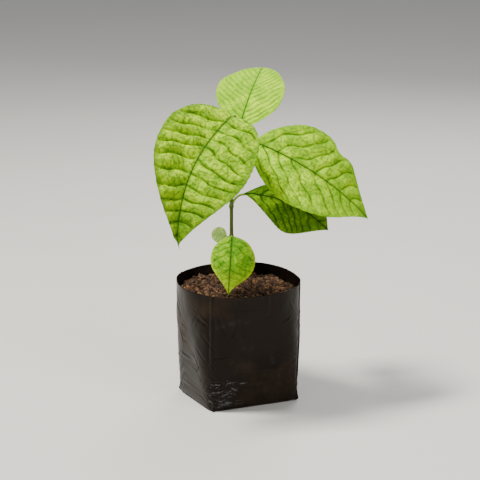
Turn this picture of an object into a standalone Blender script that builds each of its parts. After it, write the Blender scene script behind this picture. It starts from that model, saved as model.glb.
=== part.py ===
"""A potted bael seedling, in metres with +Z up.

One thin upright stem carries broad single leaves, and stands in potting mix in a black film nursery
bag. The bag's foot is nearly square and its mouth is round. The origin is the middle of the bag's
flat underside, and the front of the plant looks along -Y.
"""

import math

import bpy
import numpy as np

MM = 0.001

# The bag: a gusseted film tube that the fill has pushed out round
MOUTH_HALF = 49.2 * MM  # half the width of the mouth, along the bag's own sides
FOOT_HALF_X = 38.8 * MM  # half the foot's longer side
FOOT_HALF_Y = 33.4 * MM  # half the foot's shorter side
BAG_TURN = math.radians(25)  # how far the foot is turned to the left of the front
BAG_HEIGHT = 97.6 * MM
MOUTH_TILT = 2.0 * MM  # the back of the rim stands this much higher, and the front lower
MOUTH_EXPONENT = 2.25  # 2 is an ellipse and more is squarer
FOOT_EXPONENT = 12.0
BULGE = 0.8 * MM  # how far the fill pushes the wall out
BULGE_SKEW = 0.63  # under 1 puts the most of it below the middle
EAR = 2.4 * MM  # how far the pinched corner of the film stands out at the foot
EAR_HEIGHT = 7.0 * MM
EAR_SPREAD = math.radians(6)  # on the way round the bag
FILM = 1.0 * MM
FOOT_BEND = 1.4 * MM  # the small round where the side folds under
BAG_SIDES = 48
WALL_RINGS = 10

# The potting mix that fills the bag
GAP = 0.3 * MM  # kept between pieces that touch
SOIL_LEVEL = 91.5 * MM
SOIL_WALL_SHARE = 0.905  # of the bag's height, where the mix meets the film
SOIL_LUMP = 0.8 * MM
SOIL_FLAT = 6.0 * MM  # radius of the level patch round the stem's foot
SOIL_TOP_RINGS = (0.1, 0.25, 0.42, 0.6, 0.76)  # shares of the way from the film to the stem

# The stem
STEM_X = -5.4 * MM
STEM_TOP = 222 * MM
STEM_RADIUS = 1.6 * MM  # just over the flare
TIP_RADIUS = 0.95 * MM
FLARE = 1.5 * MM  # added to the radius at the foot
FLARE_HEIGHT = 2.6 * MM
TAPER_POWER = 1.6  # over 1 keeps the lower stem nearly even and narrows it near the top
LEAN_X = 2.4 * MM  # how far the top has drifted to the right
LEAN_Y = 1.5 * MM  # and to the back
LEAN_FROM = 160 * MM
NODE_SWELL = 0.35 * MM
NODE_LENGTH = 1.8 * MM
STEM_SIDES = 12
RING_SPACE = 0.7 * MM  # the least height between two rings of the stem

# Leaves: a blade is at least this share of its length thick
BLADE_THICKNESS = 0.0105
THINNEST_BLADE = 0.5 * MM
BLADE_END = 0.45 * MM  # half the width left at the blade's foot and tip
KEEL = 0.8  # how much thicker the blade is under its midrib, as a share
RIB_REACH = 0.1  # how far the stalk runs on under the blade, as a share of its length
STALK_SIDES = 8

# Each leaf: where its stalk leaves the stem and which way, where its blade starts, and how the
# midrib heads and climbs from there to the tip. Headings turn from +X towards +Y, left and right
# are as seen looking along the midrib from above, and angles are in degrees. A dent draws one margin
# in: its side, where along the blade, how far it spreads and how deep it is, as shares.
LEAVES = {
    "leaf_left_large": dict(
        joins=212 * MM, leaves_at=(270, 62), foot=(-5.3 * MM, -16.8 * MM, 234 * MM),
        length=130 * MM, left=47 * MM, right=37 * MM, widest=0.35, ends=(0.56, 1.1),
        heading=(225, 266), climb=(-30, -66), droop=1.8, roll=(-16, -34), fold=(15, 24),
        stalk=1.0 * MM, hook=75,
    ),
    "leaf_right_large": dict(
        joins=200 * MM, leaves_at=(-20, 58), foot=(13.1 * MM, -4.4 * MM, 211 * MM),
        length=112 * MM, left=37.8 * MM, right=41.3 * MM, widest=0.44, ends=(0.73, 1.1),
        heading=(-21, 17), climb=(-14.6, -48.5), droop=0.8, roll=(41, 44), fold=(4, 4),
        stalk=1.0 * MM, dents=(("left", 0.58, 0.07, 0.16),),
    ),
    "leaf_top": dict(
        joins=216 * MM, leaves_at=(30, 50), foot=(1.2 * MM, 4.0 * MM, 221.7 * MM),
        length=69 * MM, left=27.5 * MM, right=28.9 * MM, widest=0.46, ends=(0.71, 0.66),
        heading=(66, 74), climb=(54, 18), droop=1.0, roll=(13, -1), fold=(9, 8),
        stalk=0.85 * MM,
    ),
    "leaf_right_lower": dict(
        joins=158 * MM, leaves_at=(-5, 74), foot=(4.4 * MM, -0.1 * MM, 168.6 * MM),
        length=76.5 * MM, left=20 * MM, right=25.4 * MM, widest=0.56, ends=(0.82, 1.15),
        heading=(-1, -32), climb=(-1, -39), droop=1.0, roll=(32, 60), fold=(8, 4),
        stalk=0.95 * MM,
    ),
    "leaf_front_small": dict(
        joins=133.4 * MM, leaves_at=(268, 25), foot=(-5.0 * MM, -4.0 * MM, 134.2 * MM),
        length=61 * MM, left=19.7 * MM, right=16 * MM, widest=0.44, ends=(0.65, 1.57),
        heading=(268, 265), climb=(-29, -44), droop=1.0, roll=(-2, -15), fold=(5, 5),
        stalk=0.7 * MM,
    ),
    "leaf_pale_round": dict(
        joins=132.6 * MM, leaves_at=(170, 15), foot=(-9.2 * MM, 1.2 * MM, 133.4 * MM),
        length=12.4 * MM, left=6.6 * MM, right=6.6 * MM, widest=0.5, ends=(0.5, 0.5),
        heading=(176, 172), climb=(10, 2), droop=1.0, roll=(-62, -62), fold=(5, 5),
        stalk=0.45 * MM,
    ),
    "leaf_back_left": dict(
        joins=158.6 * MM, leaves_at=(128, 66), foot=(-13 * MM, 12 * MM, 177 * MM),
        length=68 * MM, left=21 * MM, right=22 * MM, widest=0.45, ends=(0.68, 0.9),
        heading=(128, 112), climb=(18, -44), droop=1.0, roll=(6, -8), fold=(10, 10),
        stalk=0.75 * MM,
    ),
    "leaf_back_right": dict(
        joins=188 * MM, leaves_at=(52, 55), foot=(5 * MM, 11.5 * MM, 203 * MM),
        length=74 * MM, left=24 * MM, right=23 * MM, widest=0.43, ends=(0.66, 0.85),
        heading=(46, 62), climb=(12, -46), droop=1.0, roll=(4, -4), fold=(10, 8),
        stalk=0.85 * MM,
    ),
}
HOOK_FROM = 0.93  # where along the blade a hooked tip starts to turn
SMALL_LEAF = 20 * MM  # shorter leaves are skinned with the smaller grid
BLADE_GRID = 20, 3  # rows along the blade and columns on each side of the midrib
SMALL_GRID = 8, 2

# The shoot tip: a bud between two young leaves, still folded, measured from the stem's top
TIP_LEAVES = (
    dict(
        foot=(0.4 * MM, -0.3 * MM, 2.0 * MM), length=7 * MM, left=1.7 * MM, right=1.7 * MM,
        widest=0.4, ends=(0.7, 1.0), heading=(215, 235), climb=(60, 30), droop=1.0,
        roll=(0, 0), fold=(52, 52),
    ),
    dict(
        foot=(0.2 * MM, -0.4 * MM, 2.4 * MM), length=5.5 * MM, left=1.4 * MM, right=1.4 * MM,
        widest=0.4, ends=(0.7, 1.0), heading=(315, 305), climb=(64, 40), droop=1.0,
        roll=(0, 0), fold=(55, 55),
    ),
)
TIP_BUD_LENGTH = 4.2 * MM
TIP_BUD_RADIUS = 1.25 * MM
TIP_BUD_SIDES = 10
TIP_BUD_LEAN = (0, -0.12, 1)
TIP_BUD_PROFILE = (  # share of the length, share of the radius
    (0, 0.72), (0.15, 0.8), (0.35, 1), (0.55, 0.98), (0.75, 0.72), (0.92, 0.34), (1, 0.1),
)
TIP_BLADE_THICKNESS = 0.4 * MM

# Colours of the pieces, with their roughness
FILM_BLACK = (0.014, 0.014, 0.016), 0.42
SOIL_BROWN = (0.075, 0.036, 0.02), 0.95
STEM_OLIVE = (0.09, 0.085, 0.02), 0.6
LEAF_GREEN = (0.2, 0.36, 0.035), 0.5
LEAF_LIME = (0.33, 0.5, 0.05), 0.5
LEAF_SHADED = (0.1, 0.22, 0.025), 0.5
LEAF_SAGE = (0.3, 0.42, 0.16), 0.55
LEAF_COLOURS = {
    "leaf_left_large": LEAF_GREEN,
    "leaf_top": LEAF_LIME,
    "leaf_right_lower": LEAF_SHADED,
    "leaf_pale_round": LEAF_SAGE,
}


def clear_scene():
    for obj in list(bpy.data.objects):
        bpy.data.objects.remove(obj, do_unlink=True)


def ease(start, end, value):
    """0 below start, 1 above end, and a smooth step between them."""
    share = np.clip((value - start) / (end - start), 0, 1)
    return share * share * (3 - 2 * share)


def finish_of(name, colour, roughness):
    material = bpy.data.materials.new(name)
    material.use_nodes = True
    shader = material.node_tree.nodes["Principled BSDF"]
    shader.inputs["Base Color"].default_value = (*colour, 1)
    shader.inputs["Roughness"].default_value = roughness
    shader.inputs["Metallic"].default_value = 0
    return material


def skin(name, rings, finish):
    """One closed body through equal rings of points, with its first and last ring filled.

    Seen along the way the rings run, the points of each ring go round clockwise.
    """
    count = len(rings[0])
    points = [tuple(point) for ring in rings for point in ring]
    faces = [tuple(range(count))]
    for row in range(len(rings) - 1):
        for spot in range(count):
            beside = (spot + 1) % count
            low, high = row * count, (row + 1) * count
            faces.append((low + spot, high + spot, high + beside, low + beside))
    faces.append(tuple(len(points) - 1 - spot for spot in range(count)))
    mesh = bpy.data.meshes.new(name)
    mesh.from_pydata(points, [], faces)
    mesh.materials.append(finish_of(name, *finish))
    mesh.shade_smooth()
    mesh.set_sharp_from_angle(angle=math.radians(50))
    obj = bpy.data.objects.new(name, mesh)
    bpy.context.scene.collection.objects.link(obj)
    return obj


def settle(obj):
    """Apply the object's modifiers to its mesh."""
    evaluated = obj.evaluated_get(bpy.context.evaluated_depsgraph_get())
    mesh = bpy.data.meshes.new_from_object(evaluated)
    obj.modifiers.clear()
    old = obj.data
    obj.data = mesh
    bpy.data.meshes.remove(old)
    mesh.name = obj.name


def fuse(obj, others):
    """Join the other closed bodies to obj, and remove them."""
    group = bpy.data.collections.new(obj.name)
    for other in others:
        group.objects.link(other)
    union = obj.modifiers.new("fused", "BOOLEAN")
    union.operation = "UNION"
    union.operand_type = "COLLECTION"
    union.collection = group
    union.solver = "EXACT"
    settle(obj)
    for other in others:
        bpy.data.objects.remove(other, do_unlink=True)
    bpy.data.collections.remove(group)


def cut_clear(obj, cutter):
    """Cut the cutter's space out of obj."""
    cut = obj.modifiers.new("clear", "BOOLEAN")
    cut.operation = "DIFFERENCE"
    cut.object = cutter
    cut.solver = "EXACT"
    settle(obj)


def squarish(turn, half_x, half_y, exponent):
    """Points of a rounded square: its corners are at 45 degrees of turn, whatever its sides are."""
    cosine, sine = np.cos(turn), np.sin(turn)
    x = half_x * np.sign(cosine) * np.abs(cosine) ** (2 / exponent)
    y = half_y * np.sign(sine) * np.abs(sine) ** (2 / exponent)
    return np.stack([x, y], axis=1)


def bag_ring(share, inset, ear=0.0):
    """Points round the bag at a share of its height, pulled in from the outside by inset.

    The wall is ruled straight from the square foot to the round mouth, as stretched film is, with a
    slight bulge over it. Only its outside has the pinched ear at each corner of the foot.
    """
    turn = -2 * math.pi * np.arange(BAG_SIDES) / BAG_SIDES
    off_corner = (turn % (math.pi / 2)) - math.pi / 4
    pinch = np.exp(-((off_corner / EAR_SPREAD) ** 2))
    ear = ear * pinch * math.exp(-((share * BAG_HEIGHT / EAR_HEIGHT) ** 2))
    swell = BULGE * math.sin(math.pi * share**BULGE_SKEW) - inset
    foot = squarish(turn, FOOT_HALF_X, FOOT_HALF_Y, FOOT_EXPONENT)
    mouth = squarish(turn, MOUTH_HALF, MOUTH_HALF, MOUTH_EXPONENT)
    flat = foot + (mouth - foot) * share
    outward = flat / np.linalg.norm(flat, axis=1)[:, None]
    flat = flat + np.sign(flat) * swell * np.abs(outward) ** 0.5 + outward * ear[:, None]
    x = flat[:, 0] * math.cos(BAG_TURN) - flat[:, 1] * math.sin(BAG_TURN)
    y = flat[:, 0] * math.sin(BAG_TURN) + flat[:, 1] * math.cos(BAG_TURN)
    z = share * (BAG_HEIGHT + MOUTH_TILT * np.sin(np.arctan2(y, x)))
    return np.stack([x, y, z], axis=1)


def wall_shares(low):
    """Shares of the height for the wall's rings, closer at the foot, where the shape changes most.

    The last but one is the line of the potting mix, and the last is the rim.
    """
    climb = np.linspace(0, 1, WALL_RINGS) ** 1.5
    return [*(low + (SOIL_WALL_SHARE - low) * climb), 1.0]


def make_bag():
    outer = [bag_ring(0, FOOT_BEND, EAR)]
    outer += [bag_ring(share, 0, EAR) for share in wall_shares(FOOT_BEND / BAG_HEIGHT)]
    inner = [bag_ring(FILM / BAG_HEIGHT, FILM + FOOT_BEND)]
    inner += [bag_ring(share, FILM) for share in wall_shares((FILM + FOOT_BEND) / BAG_HEIGHT)]
    return skin("bag", outer + inner[::-1], FILM_BLACK)


def stem_axis(height):
    """The middle of the stem at a height, with its own slight lean."""
    lean = ease(LEAN_FROM, STEM_TOP, height)
    return np.array([STEM_X + LEAN_X * lean, LEAN_Y * lean, height])


def stem_radius(height):
    """Taper from the foot to the tip, a flare at the foot and a swelling under each leaf."""
    share = (height - SOIL_LEVEL) / (STEM_TOP - SOIL_LEVEL)
    radius = STEM_RADIUS + (TIP_RADIUS - STEM_RADIUS) * share**TAPER_POWER
    radius += FLARE * math.exp(-(height - SOIL_LEVEL) / FLARE_HEIGHT)
    for leaf in LEAVES.values():
        radius += NODE_SWELL * math.exp(-(((height - leaf["joins"]) / NODE_LENGTH) ** 2))
    return radius


def tube(name, centres, radii, sides, finish):
    """A round tube along the centres, whose first and last rings are filled."""
    centres = np.asarray(centres)
    along = np.gradient(centres, axis=0)
    along /= np.linalg.norm(along, axis=1)[:, None]
    across = np.cross(along[0], (1.0, 0.0, 0.0))
    if np.linalg.norm(across) < 0.3:
        across = np.cross(along[0], (0.0, 1.0, 0.0))
    turn = 2 * math.pi * np.arange(sides) / sides
    rings = []
    for centre, direction, radius in zip(centres, along, radii):
        across = across - direction * across.dot(direction)
        across /= np.linalg.norm(across)
        beside = np.cross(across, direction)
        ring = np.outer(np.cos(turn), across) + np.outer(np.sin(turn), beside)
        rings.append(centre + radius * ring)
    return skin(name, rings, finish)


def stem_heights(start, end):
    """Heights of the stem's rings, with more of them at the flare and at each swelling."""
    heights = set(np.linspace(start, end, 14).round(6))
    heights.update(start + FLARE_HEIGHT * share for share in (0.25, 0.5, 1.0, 2.0))
    for leaf in LEAVES.values():
        for share in (-1.2, -0.6, 0.0, 0.6, 1.2):
            height = leaf["joins"] + share * NODE_LENGTH
            if start < height < end:
                heights.add(round(height, 6))
    ordered = sorted(heights)
    kept = [ordered[0]]
    for height in ordered[1:-1]:
        if height - kept[-1] > RING_SPACE and end - height > RING_SPACE:
            kept.append(height)
    return kept + [ordered[-1]]


def make_stem(name, more_radius=0):
    """The stem with level cuts at both ends, or its space with a gap of more_radius round it."""
    heights = stem_heights(SOIL_LEVEL + GAP, STEM_TOP)
    centres = [stem_axis(height) for height in heights]
    radii = [stem_radius(height) + more_radius for height in heights]
    stem = tube(name, centres, radii, STEM_SIDES, STEM_OLIVE)
    level(stem.data.vertices[:STEM_SIDES], heights[0])
    level(stem.data.vertices[-STEM_SIDES:], heights[-1])
    return stem


def level(vertices, height):
    for vertex in vertices:
        vertex.co.z = height


def midrib(leaf, shares):
    """Points along a leaf's midrib, with the way along it, its left side and its upper side."""
    steps = 240
    fine = np.linspace(0, 1, steps + 1)
    heading = np.radians(leaf["heading"][0] + (leaf["heading"][1] - leaf["heading"][0]) * fine)
    heading += math.radians(leaf.get("hook", 0)) * ease(HOOK_FROM, 1, fine)
    bend = fine ** leaf["droop"]
    climb = np.radians(leaf["climb"][0] + (leaf["climb"][1] - leaf["climb"][0]) * bend)
    roll = np.radians(leaf["roll"][0] + (leaf["roll"][1] - leaf["roll"][0]) * fine)
    flat = np.cos(climb)
    along = np.stack([flat * np.cos(heading), flat * np.sin(heading), np.sin(climb)], axis=1)
    middle = (along[1:] + along[:-1]) / 2 * leaf["length"] / steps
    points = np.array(leaf["foot"]) + np.vstack([np.zeros(3), np.cumsum(middle, axis=0)])
    side = np.stack([-np.sin(heading), np.cos(heading), 0 * heading], axis=1)
    above = np.cross(along, side)
    left = side * np.cos(roll)[:, None] + above * np.sin(roll)[:, None]
    upper = np.cross(along, left)
    frames = []
    for field in (points, along, left, upper):
        frames.append(np.stack([np.interp(shares, fine, field[:, k]) for k in range(3)], axis=1))
    return frames


def half_width(leaf, side, shares):
    """From midrib to margin along one side: round at the foot, drawn out at the tip, dented."""
    power = math.log(0.5) / math.log(leaf["widest"])
    foot_end, tip_end = leaf["ends"]
    sharpness = foot_end + (tip_end - foot_end) * ease(leaf["widest"], 1, shares)
    inside = np.clip(shares, 1e-9, 1 - 1e-9)
    width = leaf[side] * np.sin(math.pi * inside**power) ** sharpness
    for dented, middle, spread, depth in leaf.get("dents", ()):
        if dented == side:
            width = width * (1 - depth * np.exp(-(((shares - middle) / spread) ** 2)))
    return np.maximum(width, BLADE_END)


def blade_rings(leaf, rows, columns, thickness):
    """Flat closed rings across a blade, from its foot to its tip."""
    shares = (1 - np.cos(math.pi * np.linspace(0, 1, rows + 1))) / 2
    points, _, left, upper = midrib(leaf, shares)
    widths = half_width(leaf, "right", shares), half_width(leaf, "left", shares)
    rings = []
    for row in range(rows + 1):
        top, under = [], []
        for spot in np.linspace(-1, 1, 2 * columns + 1):
            fold = math.radians(leaf["fold"][0 if spot > 0 else 1])
            reach = abs(spot) * widths[spot > 0][row]
            out = left[row] * math.copysign(reach * math.cos(fold), spot)
            lift = upper[row] * reach * math.sin(fold)
            keel = KEEL * max(0, 1 - 4 * abs(spot)) * (1 - shares[row])
            place = points[row] + out + lift
            top.append(place + upper[row] * thickness / 2)
            under.append(place - upper[row] * thickness * (0.5 + keel))
        rings.append(np.array(top + under[::-1]))
    return rings


def stalk_path(leaf, count):
    """The stalk's middle, from the stem's own axis to the blade's foot and on under the midrib."""
    start = stem_axis(leaf["joins"])
    heading, climb = (math.radians(angle) for angle in leaf["leaves_at"])
    out = np.array(
        [math.cos(climb) * math.cos(heading), math.cos(climb) * math.sin(heading), math.sin(climb)]
    )
    points, along, _, upper = midrib(leaf, np.array([0, RIB_REACH / 2, RIB_REACH]))
    foot = points[0]
    span = np.linalg.norm(foot - start)
    first = start + out * span * 0.45
    last = foot - along[0] * span * 0.33
    path = []
    for share in np.linspace(0, 1, count):
        rest = 1 - share
        path.append(
            start * rest**3
            + first * 3 * rest**2 * share
            + last * 3 * rest * share**2
            + foot * share**3
        )
    sink = leaf["length"] * BLADE_THICKNESS * 0.35
    return path + [points[1] - upper[1] * sink, points[2] - upper[2] * sink]


def make_leaf(name, leaf, stem_space):
    """The blade with its keel, and the stalk fused under its foot and cut clear of the stem."""
    small = leaf["length"] < SMALL_LEAF
    rows, columns = SMALL_GRID if small else BLADE_GRID
    thickness = max(leaf["length"] * BLADE_THICKNESS, THINNEST_BLADE)
    finish = LEAF_COLOURS.get(name, LEAF_GREEN)
    blade = skin(name, blade_rings(leaf, rows, columns, thickness), finish)
    path = stalk_path(leaf, 5 if small else 9)
    radii = [leaf["stalk"]] * (len(path) - 2) + [leaf["stalk"] * 0.8, leaf["stalk"] * 0.45]
    stalk = tube(f"{name}_stalk", path, radii, STALK_SIDES, finish)
    fuse(blade, [stalk])
    cut_clear(blade, stem_space)
    return blade


def make_shoot_tip():
    """The bud over the stem's top, with two young leaves fused to it."""
    base = stem_axis(STEM_TOP) + np.array([0, 0, GAP])
    lean = np.array(TIP_BUD_LEAN) * TIP_BUD_LENGTH
    centres = [base + lean * share for share, _ in TIP_BUD_PROFILE]
    radii = [TIP_BUD_RADIUS * share for _, share in TIP_BUD_PROFILE]
    bud = tube("shoot_tip", centres, radii, TIP_BUD_SIDES, LEAF_LIME)
    level(bud.data.vertices[:TIP_BUD_SIDES], base[2])
    young = []
    for number, leaf in enumerate(TIP_LEAVES):
        placed = dict(leaf, foot=tuple(base + np.array(leaf["foot"])))
        rings = blade_rings(placed, *SMALL_GRID, TIP_BLADE_THICKNESS)
        young.append(skin(f"young_leaf_{number}", rings, LEAF_LIME))
    fuse(bud, young)
    return bud


def make_potting_mix():
    """The fill: it follows the film's inside, and its top is lumpy but level round the stem."""
    clear = FILM + GAP
    rings = [bag_ring(clear / BAG_HEIGHT, clear + FOOT_BEND)]
    rings.append(bag_ring((clear + FOOT_BEND) / BAG_HEIGHT, clear))
    wall = wall_shares((FILM + FOOT_BEND) / BAG_HEIGHT)
    rings += [bag_ring(share, clear) for share in wall[1:-1]]
    edge = rings[-1]
    middle = np.array([STEM_X, 0, SOIL_LEVEL])
    turn = np.arctan2(edge[:, 1], edge[:, 0])
    for inward in SOIL_TOP_RINGS:
        ring = edge + (middle - edge) * inward
        lump = np.sin(5 * turn + 9 * inward) + 0.7 * np.sin(9 * turn - 14 * inward)
        lump *= ease(0, 0.1, inward) * (1 - ease(0.55, 0.8, inward))
        ring[:, 2] = edge[:, 2] + (SOIL_LEVEL - edge[:, 2]) * ease(0, 0.3, inward)
        ring[:, 2] += SOIL_LUMP * lump
        rings.append(ring)
    away = edge - middle
    away[:, 2] = 0
    away /= np.linalg.norm(away, axis=1)[:, None]
    rings.append(middle + away * SOIL_FLAT)
    return skin("potting_mix", rings, SOIL_BROWN)


def build():
    clear_scene()
    make_bag()
    make_potting_mix()
    make_stem("stem")
    stem_space = make_stem("stem_space", GAP)
    for name, leaf in LEAVES.items():
        make_leaf(name, leaf, stem_space)
    make_shoot_tip()
    bpy.data.objects.remove(stem_space, do_unlink=True)


build()
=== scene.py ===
# %% [markdown]
# A bael seedling in a film nursery bag.
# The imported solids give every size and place. This lesson dresses them: thin leaves with veins,
# a stem with bark, a crumpled film bag and loose potting mix. The frame comes first, because each
# new piece stands for one of its nodes.

import itertools
import math

import bpy
import numpy as np
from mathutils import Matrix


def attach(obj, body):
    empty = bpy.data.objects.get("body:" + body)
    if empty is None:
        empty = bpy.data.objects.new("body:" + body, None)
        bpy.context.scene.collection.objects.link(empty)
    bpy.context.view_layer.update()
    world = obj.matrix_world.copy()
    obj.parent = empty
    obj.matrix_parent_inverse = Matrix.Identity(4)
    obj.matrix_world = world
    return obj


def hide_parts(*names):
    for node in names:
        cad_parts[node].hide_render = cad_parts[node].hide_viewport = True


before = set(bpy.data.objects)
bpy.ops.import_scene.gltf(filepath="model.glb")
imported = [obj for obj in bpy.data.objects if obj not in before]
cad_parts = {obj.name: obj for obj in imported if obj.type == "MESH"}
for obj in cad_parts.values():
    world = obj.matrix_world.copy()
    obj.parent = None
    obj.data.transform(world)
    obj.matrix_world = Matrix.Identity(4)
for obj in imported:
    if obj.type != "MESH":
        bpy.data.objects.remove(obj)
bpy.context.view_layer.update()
MM = 0.001
print("nodes:", ", ".join(sorted(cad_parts)))

# %% [markdown]
# The camera is a long lens a good way off, as the photograph seems to have been taken. It stands
# above the plant and looks down by 13.5 degrees, and its length keeps the bag's sides nearly upright.



# %% The camera
def add_object(name, data):
    """A new object in the scene, at the origin."""
    made = bpy.data.objects.new(name, data)
    bpy.context.scene.collection.objects.link(made)
    return made


AIM = np.array([0, 0, 130.4]) * MM  # the middle of the view
CAMERA_AWAY = 1.6  # metres
CAMERA_PITCH = math.radians(13.5)
FRAME_WIDTH = 480  # pixels
FOCAL_PIXELS = 1989.6
SENSOR = 36.0  # millimetres
AIM_LEFT_OF_MIDDLE = 1.85  # pixels

camera_data = bpy.data.cameras.new("camera")
camera_data.sensor_width = SENSOR
camera_data.lens = FOCAL_PIXELS / FRAME_WIDTH * SENSOR
camera_data.shift_x = AIM_LEFT_OF_MIDDLE / FRAME_WIDTH
camera = add_object("camera", camera_data)
camera.location = AIM + CAMERA_AWAY * np.array([0, -math.cos(CAMERA_PITCH), math.sin(CAMERA_PITCH)])
camera.rotation_euler = (math.pi / 2 - CAMERA_PITCH, 0, 0)
bpy.context.scene.camera = camera
print("lens", round(camera_data.lens, 1), "mm")

# %% [markdown]
# Leaves show their relief only in light that comes from one side, so a small key light stands high
# on the left. A broad weak fill in front on the right, a light behind and a pale sky open the
# shadows.

# %% Light
LIGHTS = (  # name, place and size in metres, power in watts, colour
    ("key", (-0.62, -0.12, 1.55), 0.35, 46, (1.0, 0.965, 0.88)),
    ("fill", (0.85, -1.05, 1.0), 0.9, 12, (1.0, 0.98, 0.95)),
    ("back", (0.35, 1.1, 0.9), 0.6, 8, (1.0, 0.98, 0.94)),
)
SKY_COLOUR = (0.93, 0.95, 1.0, 1)
SKY_STRENGTH = 0.33


def add_light(name, place, size, power, colour):
    """A square soft light at place, turned to the middle of the plant."""
    data = bpy.data.lights.new(name, "AREA")
    data.size = size
    data.energy = power
    data.color = colour
    light = add_object(name, data)
    light.location = place
    toward = AIM - np.array(place)
    lean = math.atan2(math.hypot(toward[0], toward[1]), -toward[2])
    light.rotation_euler = (lean, 0, math.atan2(toward[1], toward[0]) - math.pi / 2)


for light in LIGHTS:
    add_light(*light)
world = bpy.data.worlds.new("sky")
world.use_nodes = True
background = world.node_tree.nodes["Background"]
background.inputs["Color"].default_value = SKY_COLOUR
background.inputs["Strength"].default_value = SKY_STRENGTH
bpy.context.scene.world = world
print(len(LIGHTS), "lights and the sky")

# %% [markdown]
# Shader maths is easier to read as Python than as a web of nodes. Value wraps one socket and gives
# it operators, and Finish makes a material and any node in it.


# %% Materials as expressions
class Value:
    """An output socket, on which operators add Math nodes."""

    def __init__(self, finish, socket):
        self.finish = finish
        self.socket = socket

    def math(self, operation, *values):
        return self.finish.node("ShaderNodeMath", {"operation": operation}, values)

    def __add__(self, other):
        return self.math("ADD", self, other)

    def __sub__(self, other):
        return self.math("SUBTRACT", self, other)

    def __rsub__(self, other):
        return self.math("SUBTRACT", other, self)

    def __mul__(self, other):
        return self.math("MULTIPLY", self, other)

    def __pow__(self, power):
        return self.math("POWER", self, power)

    def __abs__(self):
        return self.math("ABSOLUTE", self)

    __radd__ = __add__
    __rmul__ = __mul__


class Finish:
    """A material with its Principled shader, and the nodes that feed it."""

    def __init__(self, name, uniform):
        self.material = bpy.data.materials.new(name)
        self.material.use_nodes = True
        self.tree = self.material.node_tree
        self.shader = self.tree.nodes["Principled BSDF"]
        for socket, number in uniform.items():
            self.shader.inputs[socket].default_value = number

    def node(self, kind, settings=None, values=(), output=0):
        """Add a node: its settings first, then the numbers or links of its sockets."""
        made = self.tree.nodes.new(kind)
        for setting, choice in (settings or {}).items():
            setattr(made, setting, choice)
        pairs = values.items() if isinstance(values, dict) else enumerate(values)
        for socket, value in pairs:
            if isinstance(value, Value):
                self.tree.links.new(value.socket, made.inputs[socket])
            else:
                made.inputs[socket].default_value = value
        return Value(self, made.outputs[output])

    def attribute(self, name, output="Fac"):
        """A number kept on the mesh's points, or a vector of them."""
        return self.node("ShaderNodeAttribute", {"attribute_name": name}, output=output)

    def place(self):
        """Place in the object's own frame, in metres."""
        return self.node("ShaderNodeTexCoord", output="Object")

    def noise(self, vector, scale, detail=3, rough=0.5):
        values = {"Vector": vector, "Scale": scale, "Detail": detail, "Roughness": rough}
        return self.node("ShaderNodeTexNoise", values=values)

    def cracks(self, vector, scale):
        """Distance to the nearest edge between random cells."""
        settings = {"feature": "DISTANCE_TO_EDGE"}
        return self.node("ShaderNodeTexVoronoi", settings, {"Vector": vector, "Scale": scale})

    def step(self, value, low, high, start=0.0, end=1.0):
        """A smooth step from start to end as value goes from low to high."""
        settings = {"interpolation_type": "SMOOTHSTEP"}
        return self.node("ShaderNodeMapRange", settings, (value, low, high, start, end))

    def blend(self, share, first, second):
        """A colour between two."""
        values = {0: share}
        for socket, colour in ((6, first), (7, second)):
            values[socket] = colour if isinstance(colour, Value) else (*colour, 1)
        return self.node("ShaderNodeMix", {"data_type": "RGBA"}, values, output=2)

    def feed(self, socket, value):
        """Let a value drive one of the shader's inputs."""
        self.tree.links.new(value.socket, self.shader.inputs[socket])

    def bump(self, height, distance, strength=1.0):
        """Relief too fine for the mesh."""
        values = {"Strength": strength, "Distance": distance, "Height": height}
        self.feed("Normal", self.node("ShaderNodeBump", values=values))


# %% The floor
FLOOR_ACROSS = 9  # metres
FLOOR_GREYS = ((0.67, 0.655, 0.63), (0.71, 0.695, 0.67))

floor_finish = Finish("floor", {"Roughness": 0.6})
shade = floor_finish.noise(floor_finish.place(), 3.0, detail=2)
floor_finish.feed("Base Color", floor_finish.blend(shade, *FLOOR_GREYS))
bpy.ops.mesh.primitive_plane_add(size=FLOOR_ACROSS)
floor = bpy.context.object
floor.name = "floor"
floor.data.materials.append(floor_finish.material)
print("floor", floor.dimensions[0], "m across")

# %% [markdown]
# Crumpled film, lumpy soil and puckered leaves all need noise in the shape itself, so that it also
# shows in the outline. This one eases between random numbers on a lattice, with a fixed seed.


# %% Noise and closed skins
HASH_STEPS = np.array([73856093, 19349663, 83492791])  # they turn a lattice point into one number
HASH_SIZE = 4096


def ease(start, end, value):
    """0 below start, 1 above end, and a smooth step between them."""
    share = np.clip((value - start) / (end - start), 0, 1)
    return share * share * (3 - 2 * share)


def lattice_noise(places, size, seed):
    """Smooth noise between -1 and 1, with bumps about as large as size."""
    table = np.random.default_rng(seed).uniform(-1, 1, HASH_SIZE)
    scaled = np.asarray(places) / size
    cell = np.floor(scaled).astype(np.int64)
    within = ease(0, 1, scaled - cell)
    total = 0
    for corner in itertools.product((0, 1), repeat=scaled.shape[-1]):
        code = ((cell + corner) * HASH_STEPS[: len(corner)]).sum(axis=-1) % HASH_SIZE
        weight = np.where(corner, within, 1 - within).prod(axis=-1)
        total = total + table[code] * weight
    return total


def crumple(points, waves):
    """Noise of several sizes. Each wave gives its height and size in millimetres, and its seed."""
    return sum(rise * MM * lattice_noise(points, size * MM, seed) for rise, size, seed in waves)


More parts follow.
